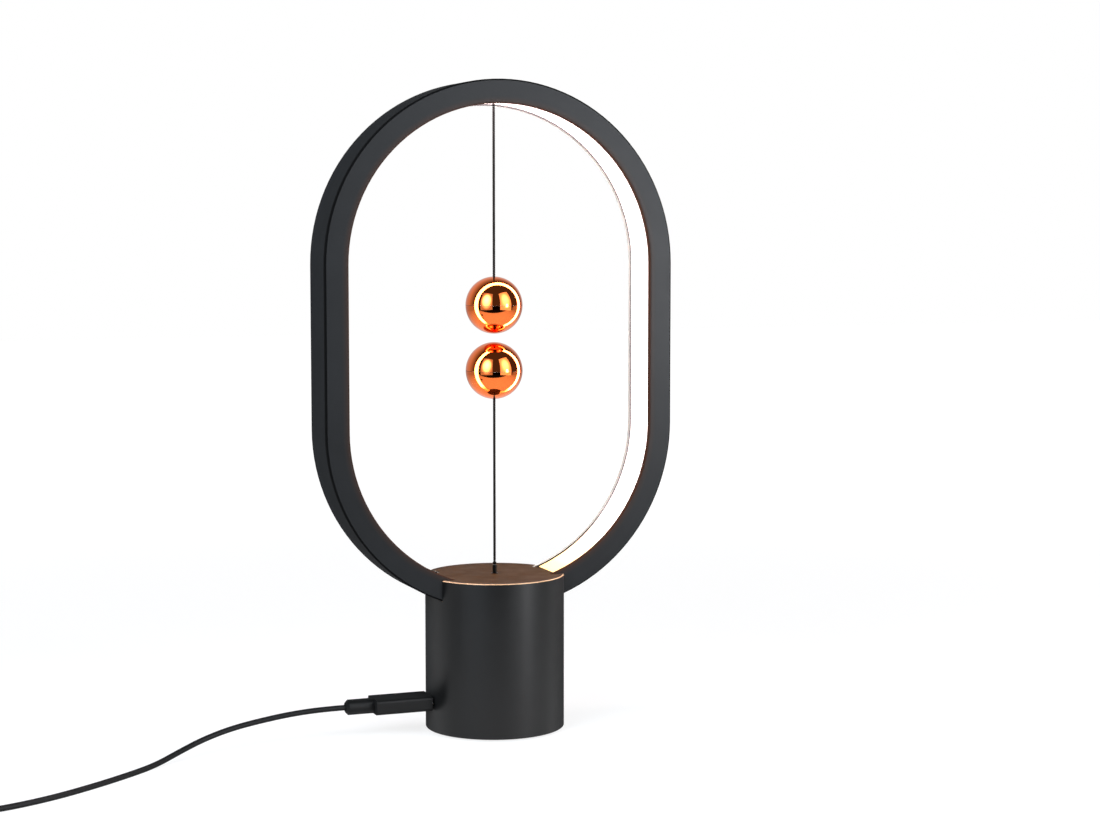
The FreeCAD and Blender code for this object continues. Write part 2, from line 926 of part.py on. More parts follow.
def socket_tongue():
    back_x = socket_back_x - socket_wall
    back = obround(
        socket_bore_width - 2 * slip_gap,
        socket_bore_height - 2 * slip_gap,
        back_x - socket_back,
        back_x - slip_gap,
        0,
        socket_axis_z,
    )
    blade = box(
        back_x - socket_back - socket_tongue_length,
        back_x - socket_back,
        -socket_tongue_width / 2,
        socket_tongue_width / 2,
        socket_axis_z - socket_tongue_thickness / 2,
        socket_axis_z + socket_tongue_thickness / 2,
    )
    return back.fuse(blade).removeSplitter()


# Switch

def switch_case():
    body = block(0, 0, case_length, case_width, case_bottom_z, case_top_z)
    ears = block(
        0, 0, case_ear_length, 2 * case_ear_reach, cradle_top_z, cradle_top_z + case_ear_thickness
    )
    body = body.fuse(ears)
    room = block(
        0,
        0,
        case_length - 2 * case_wall,
        case_width - 2 * case_wall,
        case_bottom_z - over,
        case_ceiling_z,
    )
    body = body.cut(room)
    body = body.cut(cylinder(rod_radius + running_gap, case_ceiling_z - over, case_top_z + over))
    for side in (-1, 1):
        body = body.cut(
            cylinder(
                small_screw_radius + hole_gap / 2,
                cradle_top_z - over,
                cradle_top_z + case_ear_thickness + over,
                0,
                side * case_screw_y,
            )
        )
    return body.removeSplitter()


def switch_screws():
    return group(
        [
            screw(
                0,
                side * case_screw_y,
                cradle_top_z + case_ear_thickness + slip_gap + small_head_height,
                cradle_top_z - case_screw_depth + seat_gap,
                small_screw_radius,
                small_head_radius,
                small_head_height,
            )
            for side in (-1, 1)
        ]
    )


def contact_leg_box(side, margin):
    x0, x1 = sorted((side * (contact_outer_x - contact_thickness), side * contact_outer_x))
    half = contact_width / 2 + margin
    top = contact_bottom_z + contact_thickness
    return box(x0 - margin, x1 + margin, contact_y - half, contact_y + half, pin_bottom_z, top)


def switch_contacts():
    contacts = []
    for side in (-1, 1):
        x0, x1 = sorted((side * contact_inner_x, side * contact_outer_x))
        tab = box(
            x0,
            x1,
            contact_y - contact_width / 2,
            contact_y + contact_width / 2,
            contact_bottom_z,
            contact_bottom_z + contact_thickness,
        )
        contacts.append(tab.fuse(contact_leg_box(side, 0)).removeSplitter())
    return group(contacts)


def switch_base():
    base = block(
        0,
        0,
        case_length - 2 * case_wall - 2 * slip_gap,
        case_width - 2 * case_wall - 2 * slip_gap,
        case_bottom_z,
        case_bottom_z + switch_base_thickness,
    )
    for side in (-1, 1):
        base = base.cut(contact_leg_box(side, slip_gap))
    return base


def switch_slider():
    plunger = cylinder(plunger_radius, plunger_bottom_z, plunger_top_z)
    stem = cylinder(stem_radius, stem_bottom_z, plunger_bottom_z)
    body = plunger.fuse(stem).removeSplitter()
    return body.cut(cylinder(rod_radius + pivot_gap / 2, rod_bottom_z, plunger_top_z + over))


def moving_contact():
    bridge = block(0, 0, bridge_length, bridge_width, bridge_bottom_z, bridge_top_z)
    return bridge.cut(
        cylinder(stem_radius + pivot_gap / 2, bridge_bottom_z - over, bridge_top_z + over)
    )


def pull_rod():
    return cylinder(rod_radius, rod_bottom_z, rod_top_z)


def rod_guide_bush():
    low = cover_bottom_z - guide_flange_thickness
    bush = cylinder(guide_radius, low, base_height + guide_proud)
    flange = cylinder(guide_flange_radius, low, cover_bottom_z - slip_gap)
    bore = cylinder(rod_radius + running_gap, low - over, base_height + over)
    return bush.fuse(flange).cut(bore).removeSplitter()


def switch_spring():
    low = plunger_top_z + spring_wire_radius + slip_gap
    high = case_ceiling_z - spring_wire_radius - slip_gap
    rise = (high - low) / (2 * spring_turns)
    slope = Vector(0, math.pi * spring_radius, rise).normalize()
    edges = []
    for i in range(2 * spring_turns):
        side = 1 if i % 2 == 0 else -1
        start = Vector(side * spring_radius, 0, low + i * rise)
        end = Vector(-side * spring_radius, 0, low + (i + 1) * rise)
        edges += biarc(
            start,
            Vector(0, side * slope.y, slope.z),
            end,
            Vector(0, -side * slope.y, slope.z),
        )
    return tube_on(edges, spring_wire_radius)


# Wires inside the base

def wire_tube(points):
    return tube_on(rounded_path(points, cord_bend_share, None, wire_bend), wire_radius)


def connector_top_z():
    return board_top_z + connector_height


def led_wires():
    strip_z = height_at(strip_radius, wire_start_x) + wire_radius + slip_gap
    drop_z = ballast_top_z + light_wire_clearance
    over_web_z = strip_z + wire_radius
    wires = []
    for side in (-1, 1):
        y = light_connector_y + side * wire_spacing / 2
        wires.append(
            wire_tube(
                [
                    (wire_start_x + wire_radius, y, strip_z + 2 * wire_radius),
                    (wire_hole_x, y, over_web_z),
                    (wire_hole_x, y, drop_z),
                    (connector_x, y, drop_z),
                    (connector_x, y, connector_top_z()),
                ]
            )
        )
    return group(wires)


def switch_wires():
    pin_x = contact_outer_x - contact_thickness / 2
    low_z = ballast_top_z + switch_wire_clearance
    high_z = low_z + 2 * wire_spacing
    far_y = switch_connector_y - wire_spacing / 2
    near_y = switch_connector_y + wire_spacing / 2
    far = wire_tube(
        [
            (pin_x, contact_y, pin_bottom_z),
            (pin_x, contact_y, low_z),
            (connector_x, far_y, low_z),
            (connector_x, far_y, connector_top_z()),
        ]
    )
    near = wire_tube(
        [
            (-pin_x, contact_y, pin_bottom_z),
            (-pin_x, contact_y, high_z),
            (connector_x, near_y, high_z),
            (connector_x, near_y, connector_top_z()),
        ]
    )
    return group([far, near])


# Pendulums: a string and a ball that swing on a small bead

def bead(radius, z):
    return Part.makeSphere(radius, Vector(0, 0, z))


def ball_half(z, upper, string_side):
    """One half shell; the half that the string enters has its hole."""
    shell = Part.makeSphere(ball_radius, Vector(0, 0, z)).cut(
        Part.makeSphere(ball_radius - ball_shell, Vector(0, 0, z))
    )
    reach = ball_radius + over
    if upper:
        half = box(-reach, reach, -reach, reach, z + ball_seam / 2, z + reach)
    else:
        half = box(-reach, reach, -reach, reach, z - reach, z - ball_seam / 2)
    half = shell.common(half)
    if upper == (string_side > 0):
        low, high = sorted((z, z + string_side * reach))
        half = half.cut(cylinder(string_radius + slip_gap, low, high))
    return half


def span(z, side, near, far):
    """The two heights, in order, that lie that far from z on one side."""
    return sorted((z + side * near, z + side * far))


def ball_core(z, string_side):
    half = core_length / 2
    body = cylinder(core_radius, z - half, z + half)
    disc_radius = ball_radius - ball_shell - slip_gap
    disc = cylinder(disc_radius, z - core_disc_thickness / 2, z + core_disc_thickness / 2)
    limit = Part.makeSphere(disc_radius, Vector(0, 0, z))
    body = body.fuse(disc.common(limit)).removeSplitter()
    low, high = span(z, -string_side, half - magnet_thickness - slip_gap, half + over)
    body = body.cut(cylinder(magnet_radius + slip_gap, low, high))
    low, high = span(z, string_side, knot_offset - knot_radius - knot_room, half + over)
    room_low, room_high = span(
        z,
        string_side,
        knot_offset - knot_radius - knot_room,
        knot_offset + knot_radius + knot_room,
    )
    body = body.cut(cylinder(string_radius + slip_gap, low, high))
    return body.cut(cylinder(knot_radius + knot_room, room_low, room_high))


def ball_magnet(z, string_side):
    half = core_length / 2
    low, high = span(z, -string_side, half - magnet_thickness, half)
    return cylinder(magnet_radius, low, high)


def string(pivot_z, bead_radius, ball_z):
    """The string from just clear of its bead to the knot inside the ball."""
    side = 1 if pivot_z > ball_z else -1
    knot_z = ball_z + side * knot_offset
    start_z = pivot_z - side * (bead_radius + pivot_gap)
    low, high = sorted((knot_z, start_z))
    body = cylinder(string_radius, low, high)
    return body.fuse(Part.makeSphere(knot_radius, Vector(0, 0, knot_z))).removeSplitter()


# Cord set

def plug_overmould():
    x1 = near_plug_x
    body = box(
        x1 - plug_length,
        x1,
        -plug_width / 2,
        plug_width / 2,
        socket_axis_z - plug_height / 2,
        socket_axis_z + plug_height / 2,
    )
    long_edges = [e for e in body.Edges if abs(e.tangentAt(e.FirstParameter).x) > 0.9]
    return body.makeFillet(plug_rounding, long_edges)


def plug_shell():
    x0 = near_plug_x
    x1 = x0 + plug_shell_length
    outer = obround(plug_shell_width, plug_shell_height, x0, x1, 0, socket_axis_z)
    inner = obround(
        plug_shell_width - 2 * plug_shell_wall,
        plug_shell_height - 2 * plug_shell_wall,
        x0 + plug_shell_wall,
        x1 + over,
        0,
        socket_axis_z,
    )
    return outer.cut(inner)


def plug_strain_relief():
    start = near_plug_x - plug_length
    body = Part.makeCylinder(
        relief_radius, relief_length, Vector(start, 0, socket_axis_z), Vector(-1, 0, 0)
    )
    end = start - relief_length
    rim = [
        e
        for e in body.Edges
        if isinstance(e.Curve, Part.Circle) and abs(e.Curve.Center.x - end) < 1e-6
    ]
    return body.makeChamfer(relief_chamfer, rim)


def lead_points():
    """The cord's route, starting at the strain relief's mouth and ending at the coil."""
    mouth_x = near_plug_x - plug_length - relief_length
    mouth = (mouth_x, 0.0, socket_axis_z)
    straight_end = (mouth_x - cord_straight, 0.0, socket_axis_z)
    join = coil_start() - coil_forward() * cord_diameter
    return [mouth, straight_end] + cord_points + [(join.x, join.y, join.z)]


def coil_forward():
    return Vector(*coil_heading, 0).normalize()


def coil_start():
    """Where the first loop begins: straight on from the last point of the route."""
    last = cord_points[-1]
    z = cord_diameter / 2 + coil_lift
    return Vector(last[0], last[1], z) + coil_forward() * (coil_lead_in + cord_diameter)


def coil_outward():
    """From the coil's centre to where its first loop begins; the loops turn clockwise."""
    forward = coil_forward()
    return Vector(-forward.y, forward.x, 0)


def coil_centre():
    return coil_start() - coil_outward() * coil_outer_radius


def coil_radii():
    """The radius at the start of each half turn, in all layers, and the layer that it is in."""
    step = coil_pitch / 2
    steps = coil_half_turns_per_layer - 1
    radii = []
    for layer in range(coil_layers):
        inward = layer % 2 == 0
        for k in range(coil_half_turns_per_layer):
            drop = k if inward else steps - k
            radii.append((coil_outer_radius - drop * step, layer))
    last_radius, last_layer = radii[-1]
    radii.append((last_radius + step, last_layer))
    return radii


def coil_edges():
    forward = coil_forward()
    outward = coil_outward()
    centre = coil_centre()
    radii = coil_radii()
    edges = []
    places = []
    for i, (radius, layer) in enumerate(radii):
        side = 1 if i % 2 == 0 else -1
        lift = Vector(0, 0, layer * coil_layer_pitch)
        places.append((centre + outward * (side * radius) + lift, forward * side))
    start, heading = places[0]
    edges.append(Part.makeLine(start - heading * cord_diameter, start))
    for (a, a_tangent), (b, b_tangent) in zip(places, places[1:]):
        if abs(a.z - b.z) < 1e-9:
            edges.append(arc_from(a, a_tangent, b))
        else:
            edges += biarc(a, a_tangent, b, b_tangent)
    last, heading = places[-1]
    away = outward * -1
    radius = radii[-1][0] + coil_pitch / 4
    end = Vector(centre.x, centre.y, last.z) + forward * radius
    edges += biarc(last, heading, end, away)
    edges.append(Part.makeLine(end, end + away * cord_diameter))
    return edges, end + away * cord_diameter, away


def print_coil_gap(edges):
    """The least gap of the coil to itself, measured on points along its middle line."""
    sample_step = 1.5
    points = []
    for edge in edges:
        count = max(2, int(edge.Length / sample_step))
        points += [(p.x, p.y, p.z) for p in edge.discretize(count + 1)[:-1]]
    apart = int(4 * cord_diameter / sample_step)
    least = math.inf
    for i, a in enumerate(points):
        for b in points[i + apart :]:
            least = min(least, (a[0] - b[0]) ** 2 + (a[1] - b[1]) ** 2 + (a[2] - b[2]) ** 2)
    gap = math.sqrt(least) - cord_diameter
    print("coil least gap to itself", round(gap, 3))


def cord_tie():
    """A strap round the bundle of loops, in an upright plane through the coil's axis."""
    half_cord = cord_diameter / 2
    inner = coil_outer_radius - (coil_half_turns_per_layer - 1) * coil_pitch / 2
    x0 = inner - half_cord - tie_margin
    x1 = coil_outer_radius + half_cord + tie_margin
    top = cord_diameter + coil_lift + (coil_layers - 1) * coil_layer_pitch + tie_top_gap
    outer = box(
        x0 - tie_thickness,
        x1 + tie_thickness,
        -tie_width / 2,
        tie_width / 2,
        0,
        top + tie_thickness,
    )
    corners = [e for e in outer.Edges if abs(e.tangentAt(e.FirstParameter).y) > 0.9]
    outer = outer.makeFillet(tie_thickness, corners)
    strap = outer.cut(box(x0, x1, -tie_width, tie_width, tie_thickness, top))
    outward = coil_outward()
    turned = math.degrees(math.atan2(outward.y, outward.x)) - tie_angle
    strap.rotate(Vector(0, 0, 0), Vector(0, 0, 1), turned)
    strap.translate(Vector(coil_centre().x, coil_centre().y, 0))
    return strap


def tail_points(start, away):
    """The cord's route from the coil down to the far plug, which lies on its flat side."""
    drop = start.z - far_plug_height / 2
    points = [(start.x, start.y, start.z)]
    here = Vector(start)
    for run, share in tail_runs:
        here = here + away * run
        here.z -= share * drop
        points.append((here.x, here.y, here.z))
    return points


def place_far(shape, end, away):
    """Moves a piece built along +X from the origin to the cord's far end."""
    turned = math.degrees(math.atan2(away.y, away.x))
    shape.rotate(Vector(0, 0, 0), Vector(0, 0, 1), turned)
    shape.translate(end)
    return shape


def far_plug_overmould():
    body = box(
        0,
        far_plug_length,
        -far_plug_width / 2,
        far_plug_width / 2,
        -far_plug_height / 2,
        far_plug_height / 2,
    )
    long_edges = [e for e in body.Edges if abs(e.tangentAt(e.FirstParameter).x) > 0.9]
    return body.makeFillet(far_plug_rounding, long_edges)


def far_plug_shell():
    x0 = far_plug_length
    x1 = x0 + far_shell_length
    outer = box(
        x0, x1, -far_shell_width / 2, far_shell_width / 2, -far_shell_height / 2, far_shell_height / 2
    )
    half_width = far_shell_width / 2 - far_shell_wall
    half_height = far_shell_height / 2 - far_shell_wall
    inner = box(x0 + far_shell_wall, x1 + over, -half_width, half_width, -half_height, half_height)
    return outer.cut(inner)


def far_plug_tongue():
    x0 = far_plug_length + far_shell_wall
    half = far_tongue_thickness / 2
    return box(
        x0,
        x0 + far_tongue_length,
        -far_tongue_width / 2,
        far_tongue_width / 2,
        -far_tongue_drop - half,
        -far_tongue_drop + half,
    )


def make_cord_set():
    radius = cord_diameter / 2
    lead = rounded_path(lead_points(), cord_bend_share, "lead")
    save(tube_on(lead, radius, "lead"), "usb_cord_lead")
    coil, coil_end, away = coil_edges()
    print_coil_gap(coil)
    save(tube_on(coil, radius, "coil"), "usb_cord_coil")
    tail_route = tail_points(coil_end, away)
    tail = rounded_path(tail_route, cord_bend_share, "tail")
    save(tube_on(tail, radius, "tail"), "usb_cord_tail")
    total = sum(e.Length for e in lead + coil + tail)
    print("cord length", round(total, 1))
    save(cord_tie(), "cord_tie")
    save(plug_overmould(), "socket_plug_overmould")
    save(plug_shell(), "socket_plug_shell")
    save(plug_strain_relief(), "socket_plug_strain_relief")
    end = Vector(*tail_route[-1])
    save(place_far(far_plug_overmould(), end, away), "supply_plug_overmould")
    save(place_far(far_plug_shell(), end, away), "supply_plug_shell")
    save(place_far(far_plug_tongue(), end, away), "supply_plug_tongue")


def make_base():
    save(base_housing(), "base_housing")
    save(base_top_cover(), "base_top_cover")
    save(base_bottom_cover(), "base_bottom_cover")
    save(foot_pad(), "foot_pad")
    save(bottom_screw_set(boss_places(), bottom_screw_length), "bottom_screws")
    save(bottom_screw_set(ballast_screw_places(), ballast_screw_length), "ballast_screws")
    save(ballast_weight(), "ballast_weight")
    save(ring_cradle(), "ring_cradle")
    save(cover_screws(), "cover_screws")
    save(control_board(), "control_board")
    save(board_components(), "board_components")
    save(board_screws(), "board_screws")
    save(socket_shell(), "power_socket_shell")
    save(socket_tongue(), "power_socket_tongue")


def make_ring():
    save(ring_rear_shell(), "ring_rear_shell")
    save(ring_front_cover(), "ring_front_cover")
    save(ring_diffuser(), "ring_diffuser")
    save(led_strip(), "led_strip")
    save(led_chips(), "led_chips")
    save(string_anchor(), "string_anchor")


def make_switch():
    save(switch_case(), "switch_case")
    save(switch_base(), "switch_base")
    save(switch_screws(), "switch_screws")
    save(switch_contacts(), "switch_contacts")
    save(switch_spring(), "switch_spring")
    save(switch_slider(), "switch_slider")
    save(moving_contact(), "moving_contact")
    save(pull_rod(), "pull_rod")
    save(rod_guide_bush(), "rod_guide_bush")
    save(led_wires(), "led_wires")
    save(switch_wires(), "switch_wires")


def make_pendulum(name, pivot_z, bead_radius, ball_z):
    string_side = 1 if pivot_z > ball_z else -1
    save(bead(bead_radius, pivot_z), name + "_string_bead")
    save(string(pivot_z, bead_radius, ball_z), name + "_string")
    save(ball_half(ball_z, True, string_side), name + "_ball_top_shell")
    save(ball_half(ball_z, False, string_side), name + "_ball_bottom_shell")
    save(ball_core(ball_z, string_side), name + "_ball_core")
    save(ball_magnet(ball_z, string_side), name + "_ball_magnet")


os.makedirs("parts", exist_ok=True)
make_base()
make_ring()
make_switch()
make_pendulum("lower", lower_pivot_z, lower_bead_radius, lower_ball_z)
make_pendulum("upper", upper_pivot_z, upper_bead_radius, upper_ball_z)
make_cord_set()
print("pivots", round(lower_pivot_z, 3), round(upper_pivot_z, 3))
print("balls", round(lower_ball_z, 3), round(upper_ball_z, 3), "top", ring_top_z)
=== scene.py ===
import bmesh
import bpy
import json
import math
from mathutils import Matrix, Vector


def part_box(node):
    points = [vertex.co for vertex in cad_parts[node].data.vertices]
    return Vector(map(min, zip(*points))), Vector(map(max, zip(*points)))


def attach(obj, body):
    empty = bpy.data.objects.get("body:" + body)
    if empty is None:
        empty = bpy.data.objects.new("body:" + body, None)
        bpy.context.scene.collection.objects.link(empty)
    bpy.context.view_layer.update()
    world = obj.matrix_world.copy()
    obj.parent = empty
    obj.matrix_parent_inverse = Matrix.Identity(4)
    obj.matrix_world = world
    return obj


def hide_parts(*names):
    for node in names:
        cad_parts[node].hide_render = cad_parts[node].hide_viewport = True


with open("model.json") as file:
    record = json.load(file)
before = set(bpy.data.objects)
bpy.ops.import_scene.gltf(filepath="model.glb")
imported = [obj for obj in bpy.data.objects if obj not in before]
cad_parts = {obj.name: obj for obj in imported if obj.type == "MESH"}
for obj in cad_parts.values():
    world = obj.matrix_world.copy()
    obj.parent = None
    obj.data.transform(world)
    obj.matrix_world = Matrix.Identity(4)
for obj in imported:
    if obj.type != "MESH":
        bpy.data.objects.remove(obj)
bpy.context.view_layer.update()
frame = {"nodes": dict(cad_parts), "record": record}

# A magnetic balance lamp, lit, on a pale surface. Metres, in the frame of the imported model.


def grey(level):
    return (level, level, level)


# Camera: the photograph's angle, taken from the outlines of the loop and the base
camera_azimuth = math.radians(-21.1633)
camera_elevation = math.radians(4.8227)
camera_distance = 0.85363
camera_aim_across = 0.021559
camera_aim_height = 0.123378
camera_lens = 72.267
camera_nearest = 0.01
camera_farthest = 20.0
sensor_width = 36.0

# Cord, as in the part's source
cord_diameter = 0.0021
cord_exit = (-0.0605, 0.0, 0.01223)
cord_route = [
    cord_exit,
    (-0.0690, 0.0, 0.01223),
    (-0.0810, -0.0003, 0.0116),
    (-0.0930, -0.0011, 0.0102),
    (-0.1055, -0.0031, 0.0085),
    (-0.1170, -0.0068, 0.0061),
    (-0.1270, -0.0120, 0.0034),
    (-0.1370, -0.0190, 0.00105),
    (-0.1490, -0.0300, 0.00105),
    (-0.1635, -0.0415, 0.00105),
    (-0.1790, -0.0520, 0.00105),
    (-0.1970, -0.0606, 0.00115),
    (-0.2110, -0.0644, 0.00175),
]
coil_heading = Vector((-0.965, -0.262, 0.0)).normalized()
coil_start = Vector((-0.221712, -0.067308, 0.00175))
coil_radius = 0.0163
coil_pitch = 0.0031
coil_layer_pitch = 0.00285
coil_layers = 4
half_turns_per_layer = 6
points_per_half_turn = 8
# Each run of the tail: its length along the surface, and its share of the tail's drop
tail_runs = [(0.009, 0.0), (0.011, 0.22), (0.012, 0.49), (0.010, 0.29), (0.008, 0.0)]
tail_end_height = 0.004

# Loop: the centres of its arcs, the front plate's inner radius, and the ranges over which a
# surface that faces inwards takes the painted glow of the lamp, and one that faces outwards the
# painted shade of the groove between the front plate and the side
loop_lower_centre = 0.118
loop_upper_centre = 0.1805
loop_inner = 0.0608
# Band of painted glow along the front plate's inner edge: its share and width
painted_glow_share = 0.60
painted_glow_width = 0.0026
glow_paint_facing = (-0.55, -0.35)
groove_shade_facing = (0.35, 0.55)
# Painted shade: the black of the groove between the front plate and the side, on the outer edges
painted_groove_shade = grey(0.001)
# Painted glow of the lamp on the loop's inner edges: brown on the front plate, pale grey on the
# rear shell
front_painted_glow = (0.030, 0.012, 0.006)
rear_painted_glow = (0.33, 0.33, 0.29)

# Housing: a painted highlight of the lamp's glow on its rim; the ranges of the normal's upright
# part that make a surface its rim or its lid
painted_rim_highlight = (0.42, 0.26, 0.14)
rim_highlight_facing = (0.20, 0.40)
lid_facing = (0.90, 0.98)
housing_lid_roughness = 0.55

# Light of the lamp
glow_colour = (1.0, 0.80, 0.82)
glow_end_colour = (1.0, 0.55, 0.16)
glow_strength = 22.0
glow_end_strength = 1.2
glow_seen = 1.3
glow_rise = 0.020
glow_curve = 3.0
glow_unevenness = 0.04
diffuser_colour = (0.85, 0.80, 0.72)
# Painted glow: the yellow of the dimmer light near the ends, in the diffuser's colour
diffuser_end_glow_paint = (0.75, 0.58, 0.22)

# Studio: two tall softboxes and a small far one in front, and a pale surface whose front edge
# is near. A softbox's middle and rim are shares of its radiance.
softbox_foot = 0.006
softboxes = {
    "softbox_left": {
        "azimuth": math.radians(-51.0), "distance": 0.50, "width": 0.46, "height": 0.72,
        "radiance": 4.0, "middle": 3.7, "rim": 0.2, "colour": (0.88, 1.0, 1.14),
    },
    "softbox_right": {
        "azimuth": math.radians(29.5), "distance": 0.50, "width": 0.44, "height": 0.72,
        "radiance": 3.3, "middle": 2.5, "rim": 0.6, "colour": (0.96, 1.0, 1.05),
    },
    "strip_right": {
        "azimuth": math.radians(34.0), "distance": 1.20, "width": 0.24, "height": 0.30,
        "radiance": 27.0, "middle": 3.3, "rim": 0.2, "colour": (1.0, 1.0, 1.03),
    },
}
ambient = 0.30
floor_colour = grey(0.22)
floor_white_near = 0.80
floor_white_far = 0.97
floor_near = 0.15
floor_far = 0.90
floor_gloss_near = 0.84
floor_gloss_far = 0.50
floor_gloss_reach = 0.55
floor_size = 6.0
surround_radius = 2.8
surround_front = 0.08
surround_back = 0.66
surround_horizon = 0.80
surround_near = 0.30 * surround_radius
surround_far = 0.75 * surround_radius
surround_top = 0.45 * surround_radius
room_behind = 0.50
room_lift = 0.0008
surface_turn = math.radians(-22.0)
surface_front = -0.285
surface_back = 0.65
surface_side = 0.60

# Balls
ball_radius = 0.011
ball_wall = 0.0009
ball_hole_radius = 0.00059
ball_steps = 48
ball_segments = 160
seam_half_gap = 0.00004
seam_line = 0.00007
seam_fade = 1.6
seam_roughness = 0.16
copper_tone = (0.95, 0.205, 0.046)
copper_worn = (0.93, 0.192, 0.042)
copper_seam = (0.50, 0.17, 0.07)

# Strings: three strands laid round each other, and a knot in the ball
string_radius = 0.00056
string_runs = 4
string_steps = 130
strand_radius = 0.00029
strand_sides = 8
strands = 3
lay_pitch = 0.0026
knot_radius = 0.00112

# Plastics: dark and light tone, roughness, grain per metre and its depth; where they aren't the
# usual ones, also the specular level, and whether the edges are dull
mottling_scale = 45.0
gloss_scale = 160.0
grain_strength = 0.35
dull_edge_roughness = 0.65
dull_edge_facing = (0.35, 0.80)
body_tones = ((0.0078, 0.0082, 0.0088), (0.0096, 0.0101, 0.0108))
body_grain = (2600.0, 0.000006)
front_look = (*body_tones, (0.30, 0.34), *body_grain, 0.11, True)
side_look = (*body_tones, (0.34, 0.38), *body_grain, 0.16, True)
housing_look = (grey(0.0038), grey(0.0050), (0.28, 0.32), *body_grain, 0.30, True)
# The lid is black plastic; the brown of its tones is painted warm glow of the lamp
lid_look = ((0.029, 0.0130, 0.0036), (0.035, 0.0160, 0.0048), (0.50, 0.60), 2600.0, 0.00001, 0.05)
plastics = {
    "lid": lid_look,
    "underside": (grey(0.014), grey(0.02), (0.55, 0.65), 1800.0, 0.00004),
    "foot_rubber": (grey(0.010), grey(0.016), (0.75, 0.85), 1400.0, 0.00006, 0.3),
    "strip_board": (grey(0.75), grey(0.82), (0.35, 0.45), 900.0, 0.00002),
    "light_chip": ((0.80, 0.62, 0.12), (0.86, 0.70, 0.20), (0.25, 0.35), 900.0, 0.00001),
    "inner_plastic": (grey(0.05), grey(0.065), (0.5, 0.6), 1200.0, 0.00003),
    "core_plastic": (grey(0.55), grey(0.62), (0.4, 0.5), 1200.0, 0.00002),
    "components": (grey(0.012), grey(0.02), (0.4, 0.5), 1200.0, 0.00002),
    "wire": ((0.28, 0.012, 0.010), (0.34, 0.018, 0.014), (0.4, 0.5), 900.0, 0.00001),
    "cord": (grey(0.005), grey(0.007), (0.45, 0.55), 1500.0, 0.00001, 0.15, True),
    "plug_moulding": (grey(0.0035), grey(0.0048), (0.38, 0.45), 2200.0, 0.00001, 0.15, True),
    "tongue": (grey(0.02), grey(0.03), (0.4, 0.5), 1200.0, 0.00002),
}

# Metals: tone, tone where it is worn, roughness, and the stretch of its scratches
patch_scale = 120.0
scratch_scale = 900.0
scratch_strength = 0.15
metals = {
    "steel": ((0.55, 0.55, 0.56), (0.62, 0.62, 0.63), (0.28, 0.42), (1, 1, 8)),
    "magnet": ((0.66, 0.66, 0.67), grey(0.70), (0.10, 0.18)),
    "contact_metal": ((0.78, 0.57, 0.25), (0.70, 0.50, 0.22), (0.2, 0.3)),
    "bead": (grey(0.006), grey(0.009), (0.35, 0.45)),
    "rod": (grey(0.006), grey(0.009), (0.30, 0.42)),
    "plug_metal": ((0.62, 0.62, 0.63), (0.70, 0.70, 0.71), (0.18, 0.3), (8, 1, 1)),
}

# Nodes with a look of their own; the others have the look of their slot
own_looks = {
    "ring_front_cover": "front_plate",
    "ring_rear_shell": "rear_shell",
    "base_housing": "housing",
    "base_top_cover": "lid",
}

# The steepest fold, in degrees, over which a surface still looks smooth
node_fold = 35.0
shell_fold = 50.0
strand_fold = 60.0


def in_scene(name, data):
    """A new object with this mesh, curve, light or camera."""
    thing = bpy.data.objects.new(name, data)
    bpy.context.scene.collection.objects.link(thing)
    return thing


# Node helpers

def new_material(name):
    """A material with a Principled shader, and its tree, shader and object coordinates."""
    material = bpy.data.materials.new(name)
    material.use_nodes = True
    tree = material.node_tree
    shader = tree.nodes["Principled BSDF"]
    return material, tree, shader, object_coordinates(tree)


def object_coordinates(tree):
    return tree.nodes.new("ShaderNodeTexCoord").outputs["Object"]


def normal(tree):
    return tree.nodes.new("ShaderNodeNewGeometry").outputs["Normal"]


def parts_of(tree, vector):
    """The X, Y and Z of a vector."""
    node = tree.nodes.new("ShaderNodeSeparateXYZ")
    tree.links.new(vector, node.inputs["Vector"])
    return node.outputs


def feed(tree, socket, value):
    """Gives a socket a plain value, or the output of another node."""
    if isinstance(value, bpy.types.NodeSocket):
        tree.links.new(value, socket)
    else:
        socket.default_value = value


def calculate(tree, operation, *values):
    """The result of a sum on numbers; each value is plain or another node's output."""
    node = tree.nodes.new("ShaderNodeMath")
    node.operation = operation
    for socket, value in zip(node.inputs, values):
        feed(tree, socket, value)
    return node.outputs[0]


def calculate_vector(tree, operation, output, *values):
    """The same on vectors; output is Vector or Value."""
    node = tree.nodes.new("ShaderNodeVectorMath")
    node.operation = operation
    for socket, value in zip(node.inputs, values):
        feed(tree, socket, value)
    return node.outputs[output]


def noise(tree, coordinates, scale, detail=2.0, stretch=(1, 1, 1)):
    """A noise value over the object's own coordinates; scale is in features per metre."""
    mapping = tree.nodes.new("ShaderNodeMapping")
    mapping.inputs["Scale"].default_value = stretch
    tree.links.new(coordinates, mapping.inputs["Vector"])
    texture = tree.nodes.new("ShaderNodeTexNoise")
    texture.inputs["Scale"].default_value = scale
    texture.inputs["Detail"].default_value = detail
    tree.links.new(mapping.outputs["Vector"], texture.inputs["Vector"])
    return texture.outputs["Fac"]


def between(tree, value, low, high, start=0.3, end=0.7):
    """A number that goes from low to high as the value goes from start to end."""
    node = tree.nodes.new("ShaderNodeMapRange")
    node.inputs["From Min"].default_value = start
    node.inputs["From Max"].default_value = end
    node.inputs["To Min"].default_value = low
    node.inputs["To Max"].default_value = high
    tree.links.new(value, node.inputs["Value"])
    return node.outputs["Result"]


